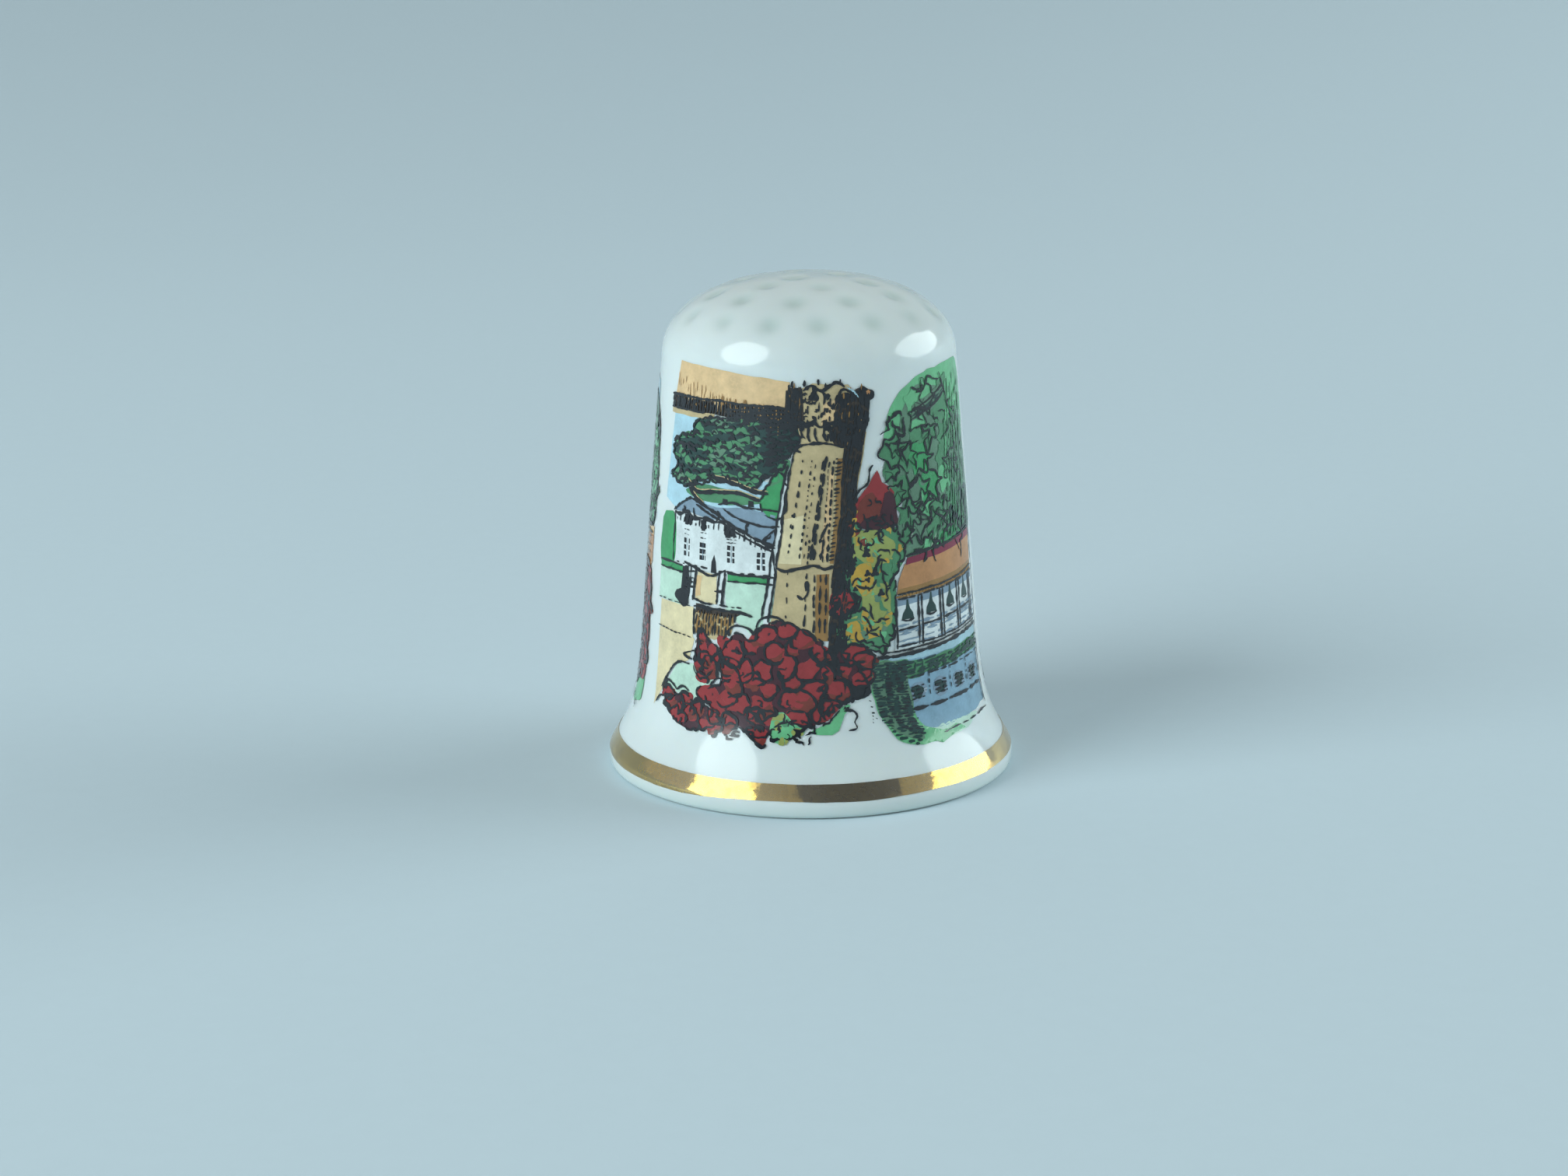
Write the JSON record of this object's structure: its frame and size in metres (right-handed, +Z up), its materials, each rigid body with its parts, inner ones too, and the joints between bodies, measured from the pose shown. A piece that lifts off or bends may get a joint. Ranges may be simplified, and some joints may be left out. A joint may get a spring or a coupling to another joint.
{
  "type": "thimble",
  "caption": "Souvenir thimble in glazed bone china: flared skirt, dimpled dome, hollow for a finger, gilt line above the lip and printed garden views round the wall.",
  "frame": {"origin": "centre of the foot ring, on the surface that the thimble stands on", "axes": "+Z up along the axis of revolution towards the crown; -Y faces the front print; +X is the front print's right"},
  "size_m": [0.0212, 0.0212, 0.0256],
  "materials": {
    "bone_china": "clear gloss glaze over slip-cast bone china",
    "gilt": "bright gold, brushed on by hand and fired",
    "front_enamel": "on-glaze enamel transfer, gloss",
    "right_enamel": "on-glaze enamel transfer, gloss",
    "back_enamel": "on-glaze enamel transfer, gloss",
    "left_enamel": "on-glaze enamel transfer, gloss"
  },
  "bodies": {
    "root": {"china_body": "bone_china", "gilt_line": "gilt", "front_print": "front_enamel", "right_print": "right_enamel", "back_print": "back_enamel", "left_print": "left_enamel"}
  },
  "joints": []
}
